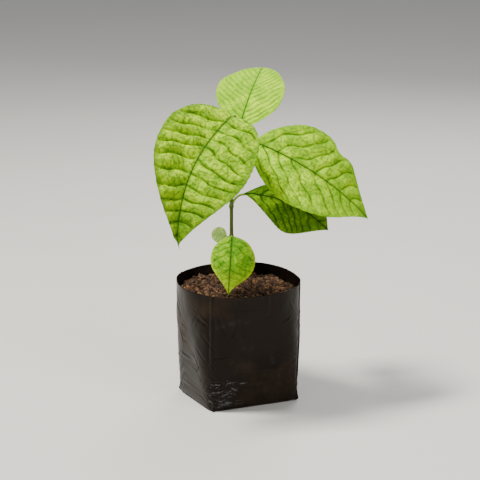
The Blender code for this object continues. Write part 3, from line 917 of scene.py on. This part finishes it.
def midrib(leaf, shares):
    """Points along a leaf's midrib, with the ways it runs, to its left and up from its face."""
    fine = np.linspace(0, 1, MIDRIB_STEPS + 1)
    heading = np.radians(leaf["heading"][0] + (leaf["heading"][1] - leaf["heading"][0]) * fine)
    heading += math.radians(leaf.get("hook", 0)) * ease(HOOK_FROM, 1, fine)
    bend = fine ** leaf.get("droop", 1)
    climb = np.radians(leaf["climb"][0] + (leaf["climb"][1] - leaf["climb"][0]) * bend)
    roll = np.radians(leaf["roll"][0] + (leaf["roll"][1] - leaf["roll"][0]) * fine)
    flat = np.cos(climb)
    along = np.stack([flat * np.cos(heading), flat * np.sin(heading), np.sin(climb)], axis=1)
    middle = (along[1:] + along[:-1]) / 2 * leaf["length"] * MM / MIDRIB_STEPS
    points = np.array(leaf["foot"]) * MM + np.vstack([np.zeros(3), np.cumsum(middle, axis=0)])
    side = np.stack([-np.sin(heading), np.cos(heading), 0 * heading], axis=1)
    above = np.cross(along, side)
    left = side * np.cos(roll)[:, None] + above * np.sin(roll)[:, None]
    upper = np.cross(along, left)
    frames = []
    for field in (points, along, left, upper):
        frames.append(np.stack([np.interp(shares, fine, field[:, k]) for k in range(3)], axis=1))
    return frames


def half_width(leaf, side, shares):
    """From midrib to margin along one side, with shallow teeth between the vein ends."""
    power = math.log(0.5) / math.log(leaf["widest"])
    foot_end, tip_end = leaf["ends"]
    sharpness = foot_end + (tip_end - foot_end) * ease(leaf["widest"], 1, shares)
    inside = np.clip(shares, 1e-9, 1 - 1e-9)
    width = leaf[side] * MM * np.sin(math.pi * inside**power) ** sharpness
    for dented, middle, spread, depth in leaf.get("dents", ()):
        if dented == side:
            width = width * (1 - depth * np.exp(-(((shares - middle) / spread) ** 2)))
    teeth = np.abs(np.sin(math.pi * leaf["veins"] * TEETH_PER_VEIN * shares + (side == "left")))
    return np.maximum(width * (1 - SCALLOP * (1 - teeth)), BLADE_END)


for name, leaf in LEAVES.items():
    halves = [half_width(leaf, side, leaf["widest"]) / MM for side in ("left", "right")]
    print(name, "is", round(sum(halves)), "mm across")


# %% [markdown]
# Each blade is a grid of points laid along the midrib, raised by the quilting, puckered by noise and
# rippled at the margin. A second grid a third of a millimetre under it closes the blade, with the
# midrib's keel and the side veins pressed out below.

# %% The blades
BLADE = 0.32 * MM
ROW_STEP = 0.62 * MM
COLUMN_STEP = 0.85 * MM
RIB_HALF = 0.75 * MM
RIB_RISE = 0.16 * MM
CREASE_HALF = 0.75 * MM
CREASE_DEPTH = 0.28  # of the quilting
LARGE_PUCKER = 7.5 * MM
SMALL_PUCKER = 3.6 * MM
KEEL = 0.9 * MM
KEEL_LENGTH = 60  # millimetres of leaf that carry a full keel
VEIN_RISE = 0.12 * MM
VEIN_HALF = 0.6  # millimetres
MARGIN_THINNING = 0.4


def blade_relief(leaf, number, share, spot, lie):
    """How far the upper face is raised, in metres."""
    out = np.abs(spot)
    off = off_vein(leaf, share, lie[..., 1] / (leaf["left"] * MM))
    gap = leaf["length"] * MM / leaf["veins"]
    quilt = np.where(spot > 0, *leaf["quilt"][::-1]) * MM
    inner = ease(0.0, 0.16, out) * (1 - 0.75 * ease(0.75, 1.0, out))
    inner = inner * ease(0.0, 0.08, share) * (1 - ease(0.86, 1.0, share))
    swell = np.sin(math.pi * np.clip(off * 2, 0, 1) / 2) - 0.6
    crease = np.exp(-((off * gap / CREASE_HALF) ** 2))
    raised = quilt * inner * (swell - CREASE_DEPTH * crease)
    pucker = 0.6 * lattice_noise(lie, LARGE_PUCKER, 61 + number)
    pucker = pucker + 0.3 * lattice_noise(lie, SMALL_PUCKER, 71)
    raised = raised + pucker * quilt * 0.6 * inner
    edge = out**3 * np.sin(17 * share + 2.2 * np.sign(spot) + number) * ease(0.04, 0.2, share)
    raised = raised + leaf["ripple"] * MM * edge * (1 - ease(0.85, 1, share))
    rib = np.exp(-((np.abs(lie[..., 1]) / (RIB_HALF * (1.15 - share))) ** 2))
    return raised + RIB_RISE * rib * (1 - share)


def blade_grid(leaf, number):
    """The blade's middle surface, and where each of its points lies on the flat leaf.

    spot runs from -1 at the right margin over 0 at the midrib to 1 at the left one.
    """
    rows = max(40, round(leaf["length"] * MM / ROW_STEP))
    columns = max(12, round(max(leaf["left"], leaf["right"]) * MM / COLUMN_STEP))
    even = np.linspace(0, 1, rows + 1)
    shares = 0.65 * even + 0.35 * (1 - np.cos(math.pi * even)) / 2
    points, _, left, upper = midrib(leaf, shares)
    spots = np.linspace(-1, 1, 2 * columns + 1)
    share, spot = np.meshgrid(shares, spots, indexing="ij")
    width = np.where(
        spot > 0,
        half_width(leaf, "left", shares)[:, None],
        half_width(leaf, "right", shares)[:, None],
    )
    fold = np.radians(np.where(spot > 0, *leaf["fold"]))
    lie = np.stack([share * leaf["length"] * MM, spot * width], axis=-1)
    flat = points[:, None] + left[:, None] * (spot * width * np.cos(fold))[..., None]
    flat = flat + upper[:, None] * (np.abs(spot) * width * np.sin(fold))[..., None]
    raised = blade_relief(leaf, number, share, spot, lie)
    lifted = flat + upper[:, None] * raised[..., None]
    return lifted, share, spot, lie


def blade_faces(rows, columns):
    """Upper face, under face and the margin that joins them, all facing out."""
    upper = np.arange(rows * columns).reshape(rows, columns)
    under = upper + rows * columns
    a, b, c, d = upper[:-1, :-1], upper[1:, :-1], upper[1:, 1:], upper[:-1, 1:]
    faces = np.stack([a, b, c, d], axis=-1).reshape(-1, 4).tolist()
    shift = rows * columns
    faces += np.stack([d + shift, c + shift, b + shift, a + shift], axis=-1).reshape(-1, 4).tolist()
    outline = [*upper[:-1, 0], *upper[-1, :-1], *upper[:0:-1, -1], *upper[0, :0:-1]]
    for start, end in zip(outline, outline[1:] + outline[:1]):
        faces.append([int(end), int(start), int(start + shift), int(end + shift)])
    return faces


def make_blade(name, leaf, number, finish, thickness=BLADE):
    """A closed blade with its place on the flat leaf kept on its points."""
    middle, share, spot, lie = blade_grid(leaf, number)
    normal = np.cross(np.gradient(middle, axis=0), np.gradient(middle, axis=1))
    normal /= np.linalg.norm(normal, axis=-1)[..., None]
    thin = thickness * (1 - MARGIN_THINNING * np.abs(spot))
    keel = np.exp(-((lie[..., 1] / (RIB_HALF * (1.1 - 0.8 * share))) ** 2)) * KEEL * (1 - share)
    keel = keel * min(1.0, leaf["length"] / KEEL_LENGTH)
    off = off_vein(leaf, share, lie[..., 1] / (leaf["left"] * MM))
    veins = np.exp(-((off * leaf["length"] / leaf["veins"] / VEIN_HALF) ** 2))
    veins = veins * VEIN_RISE * ease(0.0, 0.1, share) * (1 - ease(0.6, 0.95, np.abs(spot)))
    top = middle + normal * (thin / 2)[..., None]
    under = middle - normal * (thin / 2 + keel + veins)[..., None]
    flat_place = np.concatenate([lie / MM, np.zeros_like(share)[..., None]], axis=-1)
    attributes = {
        "share": np.concatenate([share.ravel(), share.ravel()]),
        "spot": np.concatenate([spot.ravel(), spot.ravel()]),
        "under": np.concatenate([np.zeros(share.size), np.ones(share.size)]),
        "lie": np.concatenate([flat_place.reshape(-1, 3)] * 2),
    }
    points = np.concatenate([top.reshape(-1, 3), under.reshape(-1, 3)])
    return make_piece(name, points, blade_faces(*share.shape), finish, attributes)


# %% [markdown]
# A young leaf isn't one green. The finish paints a highlight on the swollen parts between the side
# veins, and paints shade in the creases and along the midrib. A net of small veins breaks up the
# light, and the margins go darker or yellow. The colours below were judged for each leaf.

# %% The finish of the leaves
NET_SIZE = 0.19  # meshes of the net to a millimetre, and of the finer one
FINE_NET_SIZE = 0.95
VEIN_LINE_SHADE = (0.08, 0.5)  # millimetres from a vein, where the painted shade line on it starts to fade and ends
VEIN_SHADE_BAND = (0.2, 2.4)  # the same for the painted shade in the crease round it
RIB_LINE = (0.40, 0.95)
# the band of painted shade beside the midrib
RIB_SHADE_BAND = (0.4, 3.0)
LEAF_ROUGHNESS = 0.5
UNDERSIDE = (0.26, 0.42, 0.08)


def leaf_finish(
    name, leaf, dark, middle, bright, rib, edge, net=0.5, crease_shade=1.0, right_crease_shade=1.0
):
    """Living leaf: colours by vein, net, margin and patches, with relief too fine for the mesh. It
    paints shade in the creases along the veins and beside the midrib, and a highlight on the bulges.

    The net argument says how dark the net is. The next two say how dark the painted shade along the
    side veins is, and how dark that shade is on the right half beside the others.
    """
    finish = Finish(name, {"Specular IOR Level": 0.14})
    share = finish.attribute("share")
    spot = finish.attribute("spot")
    under = finish.attribute("under")
    lie = finish.attribute("lie", "Vector")
    wide = finish.node("ShaderNodeSeparateXYZ", values=[lie], output="Y")
    off = off_vein(leaf, share, wide * (1 / leaf["left"]))
    gap = leaf["length"] / leaf["veins"]
    inside = finish.step(abs(spot), 0.82, 1.0, 1.0, 0.0)
    # Painted shade: a dark line on each side vein and a dark band round it, in the creases, weaker on
    # the right half.
    vein_shade_line = finish.step(off * gap, *VEIN_LINE_SHADE, 1.0, 0.0) * inside
    fade = finish.step(finish.noise(lie, 0.09, detail=2), 0.36, 0.58, 0.25, 1.0)
    hollow = finish.step(off * gap, *VEIN_SHADE_BAND, 1.0, 0.0) * inside * fade
    crease_shade = finish.step(spot, -0.12, 0.12, right_crease_shade * crease_shade, crease_shade)
    on_rib = finish.step(abs(wide) + share * 0.25, *RIB_LINE, 1.0, 0.0)
    # Painted shade along the groove beside the midrib.
    rib_shade = finish.step(abs(wide), *RIB_SHADE_BAND, 1.0, 0.0)
    push = finish.node("ShaderNodeTexNoise", values={"Vector": lie, "Scale": 0.3}, output=1)
    warp = finish.node(
        "ShaderNodeVectorMath", {"operation": "MULTIPLY_ADD"}, (push, (3, 3, 0), lie)
    )
    fleck = finish.noise(lie, 0.42, detail=5, rough=0.65)
    coarse = finish.step(finish.cracks(warp, NET_SIZE), 0.0, 0.13, 1.0, 0.0)
    coarse = coarse * finish.step(fleck, 0.40, 0.60, 1.0, 0.2)
    fine = finish.step(finish.cracks(warp, FINE_NET_SIZE), 0.0, 0.16, 1.0, 0.0)
    patch = finish.step(finish.noise(lie, 0.06, detail=5, rough=0.65), 0.40, 0.62)
    # Painted highlight: swell lightens the bulges between the side veins.
    swell = (1 - hollow) * (1 - coarse * net) * finish.step(fleck, 0.3, 0.62)
    tone = finish.blend(swell * 0.7 + patch * 0.3, middle, bright)
    tone = finish.blend((1 - patch) * 0.4, tone, dark)
    # Painted shade in the creases round the side veins, and beside the midrib below.
    tone = finish.blend(hollow * 0.62 * crease_shade, tone, dark)
    tone = finish.blend(coarse * 0.7 * net + fine * 0.2 * net, tone, dark)
    tone = finish.blend(rib_shade * 0.4, tone, dark)
    tone = finish.blend(finish.step(abs(spot) + fleck * 0.2, 0.90, 1.12) * 0.55, tone, edge)
    tone = finish.blend(finish.step(share + fleck * 0.3, 0.62, 1.15) * 0.6, tone, edge)
    # Painted shade on the side veins themselves.
    tone = finish.blend(vein_shade_line * 0.42 * crease_shade, tone, [level * 0.6 for level in dark])
    tone = finish.blend(on_rib * 0.92, tone, rib)
    finish.feed("Base Color", finish.blend(0.45 * under, tone, UNDERSIDE))
    finish.feed("Roughness", LEAF_ROUGHNESS + fleck * 0.14 + under * 0.18)
    sunk = (vein_shade_line * 0.9 + hollow * 0.7) * crease_shade
    finish.bump(fleck * 1.8 - coarse * 1.5 * net - fine * 0.3 - sunk, 0.6 * MM, 0.9)
    return finish.material


# %% The leaves' colours
GREENS = {  # dark, middle, bright, midrib, margin
    "leaf_left_large": (
        (0.014, 0.11, 0.0), (0.21, 0.50, 0.0), (0.62, 0.94, 0.0), (0.010, 0.075, 0.0),
        (0.06, 0.20, 0.0),
    ),
    "leaf_right_large": (
        (0.022, 0.14, 0.0), (0.22, 0.53, 0.0), (0.60, 0.96, 0.0), (0.010, 0.07, 0.0),
        (0.18, 0.44, 0.0),
    ),
    "leaf_top": (
        (0.10, 0.34, 0.0), (0.36, 0.72, 0.0), (0.62, 0.98, 0.0), (0.03, 0.16, 0.0),
        (0.26, 0.54, 0.0),
    ),
    # The lower right leaf sits under the others, so its greens are darker throughout: painted shade.
    "leaf_right_lower": (
        (0.014, 0.080, 0.0), (0.12, 0.32, 0.0), (0.34, 0.62, 0.0), (0.008, 0.05, 0.0),
        (0.12, 0.28, 0.0),
    ),
    "leaf_front_small": (
        (0.020, 0.12, 0.0), (0.10, 0.36, 0.0), (0.36, 0.64, 0.0), (0.016, 0.10, 0.0),
        (0.46, 0.60, 0.0),
    ),
    "leaf_pale_round": (
        (0.13, 0.25, 0.04), (0.30, 0.47, 0.10), (0.42, 0.60, 0.16), (0.20, 0.34, 0.06),
        (0.34, 0.48, 0.12),
    ),
}
# The back left leaf, behind the large left one, takes the same darker greens: painted shade.
GREENS["leaf_back_left"] = GREENS["leaf_right_lower"]
GREENS["leaf_back_right"] = GREENS["leaf_right_large"]

# The slot of each leaf, and how dark the painted shade along its side veins is, its net, and that
# shade on its right half
LEAF_LOOKS = {
    "leaf_left_large": ("leaf_green", 1.0, 0.6, 0.45),
    "leaf_right_large": ("leaf_green", 0.85, 0.5, 1.0),
    "leaf_top": ("leaf_lime", 0.5, 0.3, 1.0),
    "leaf_right_lower": ("leaf_shaded", 0.85, 0.5, 1.0),
    "leaf_front_small": ("leaf_green", 0.3, 0.5, 1.0),
    "leaf_pale_round": ("leaf_sage", 0.35, 0.2, 1.0),
    "leaf_back_left": ("leaf_green", 0.85, 0.5, 1.0),
    "leaf_back_right": ("leaf_green", 0.85, 0.5, 1.0),
}

# %% [markdown]
# A leaf's stalk is a smooth curve from the middle of the stem to the blade's foot, and it runs on
# under the midrib. It is thicker where it leaves the stem and thins out under the midrib.

# %% The stalks
STALK_POINTS = 60
STALK_SIDES = 20
STALK_UNDER = 0.10  # how far it runs on under the midrib, as a share of the leaf's length
STALK_SWELL = 0.35
STALK_GRAIN = ((0.04, 1.2, 81),)  # height and size in millimetres, seed
# A stalk's top is a lighter green, a painted highlight. Its underside is a darker brown: its own
# brownish colour with painted shade on it.
STALK_LIT_TOP = ((0.16, 0.30, 0.015), (0.28, 0.44, 0.03))
STALK_BROWN_SHADED_UNDERSIDE = ((0.075, 0.065, 0.02), (0.13, 0.12, 0.03))


def stalk_line(leaf):
    """Points from the stem's axis to the blade's foot and on under the midrib."""
    start = stem_axis(leaf["joins"] * MM)
    heading, climb = (math.radians(angle) for angle in leaf["leaves_at"])
    level = math.cos(climb)
    out = np.array([level * math.cos(heading), level * math.sin(heading), math.sin(climb)])
    points, along, _, upper = midrib(leaf, np.linspace(0, STALK_UNDER, 9))
    drop = leaf["stalk"] * MM * np.linspace(0.95, 0.35, len(points))[:, None]
    under = points - upper * drop
    foot = under[0]
    span = np.linalg.norm(foot - start)
    first = start + out * span * 0.45
    last = foot - along[0] * span * 0.33
    share = np.linspace(0, 1, STALK_POINTS)[:, None]
    rest = 1 - share
    curve = start * rest**3 + first * 3 * rest**2 * share + last * 3 * rest * share**2 + foot * share**3
    return np.vstack([curve, under[1:]])


stalk_finish = Finish("leaf_stalk", {"Specular IOR Level": 0.25})
place = stalk_finish.place()
patches = stalk_finish.noise(place, 260, detail=3)
# The side facing up takes the lit colours and the side facing down the shaded ones: painted highlight
# and painted shade.
above = stalk_finish.attribute("above")
light = stalk_finish.blend(patches, *STALK_LIT_TOP)
dark = stalk_finish.blend(patches, *STALK_BROWN_SHADED_UNDERSIDE)
stalk_finish.feed("Base Color", stalk_finish.blend(stalk_finish.step(above, -0.5, 0.35), dark, light))
stalk_finish.feed("Roughness", 0.45 + patches * 0.15)
stalk_finish.bump(stalk_finish.noise(place, 1500, detail=2), 0.12 * MM)


def make_stalk(name, leaf):
    """The stalk as a closed tube, whose points know how far they face up."""
    line = stalk_line(leaf)
    share = np.linspace(0, 1, len(line))
    thick = leaf["stalk"] * MM * (1 + STALK_SWELL * np.exp(-((share / 0.12) ** 2)))
    thick = thick * (1 - 0.7 * ease(0.86, 1.0, share))
    rows, outs = tube_rows(line, thick, STALK_SIDES)
    rows = rows + outs * crumple(rows, STALK_GRAIN)[..., None]
    # How far each point faces up places the painted highlight and the painted shade.
    above = {"above": outs[..., 2].ravel()}
    return make_piece(f"{name}_stalk", rows, closed_skin(rows), stalk_finish.material, above)


# %% The leaves in their places
for number, (name, leaf) in enumerate(LEAVES.items()):
    slot, veins, net, right = LEAF_LOOKS[name]
    finish = leaf_finish(
        f"{name}_green", leaf, *GREENS[name], net=net, crease_shade=veins, right_crease_shade=right
    )
    stand_for(make_blade(f"{name}_blade", leaf, number, finish), slot, name)
    stand_for(make_stalk(name, leaf), slot)

# %% [markdown]
# The tip of the shoot is a bud between two leaves that have yet to unfold. They are folded along
# their midribs, by the same rule as the large ones.

# %% The shoot tip
YOUNG = dict(
    widest=0.4, ends=(0.7, 1.0), roll=(0, 0),
    veins=5, forward=0.2, quilt=(0.03, 0.03), ripple=0.05,
)
TIP_LEAVES = (  # foot is counted from the tip of the stem
    YOUNG | dict(
        foot=(0.4, -0.3, 2.0), length=7, left=1.7, right=1.7,
        heading=(215, 235), climb=(60, 30), fold=(52, 52),
    ),
    YOUNG | dict(
        foot=(0.2, -0.4, 2.4), length=5.5, left=1.4, right=1.4,
        heading=(315, 305), climb=(64, 40), fold=(55, 55),
    ),
)
YOUNG_BLADE = 0.2 * MM
BUD_LENGTH = 4.2 * MM
BUD_RADIUS = 1.25 * MM
BUD_LEAN = np.array([0, -0.12, 1])
BUD_RINGS = 28
BUD_SIDES = 24

tip = stem_axis(STEM_TOP)
share = np.linspace(0, 1, BUD_RINGS)
bud_line = tip + BUD_LEAN * BUD_LENGTH * share[:, None]
bud_radii = BUD_RADIUS * (0.72 + 0.28 * ease(0, 0.4, share))
bud_radii = bud_radii * np.sqrt(np.clip(1.005 - share**2.2, 0, 1))
rows, outs = tube_rows(bud_line, bud_radii, BUD_SIDES)
above = {"above": outs[..., 2].ravel() + 1}
bud = make_piece("shoot_bud", rows, closed_skin(rows), stalk_finish.material, above)
stand_for(bud, "leaf_lime", "shoot_tip")
for number, leaf in enumerate(TIP_LEAVES):
    placed = dict(leaf, foot=tuple(tip / MM + np.array(leaf["foot"])))
    finish = leaf_finish(f"young_leaf_{number}_green", placed, *GREENS["leaf_top"], net=0.2)
    young = make_blade(f"young_leaf_{number}", placed, number, finish, YOUNG_BLADE)
    stand_for(young, "leaf_lime")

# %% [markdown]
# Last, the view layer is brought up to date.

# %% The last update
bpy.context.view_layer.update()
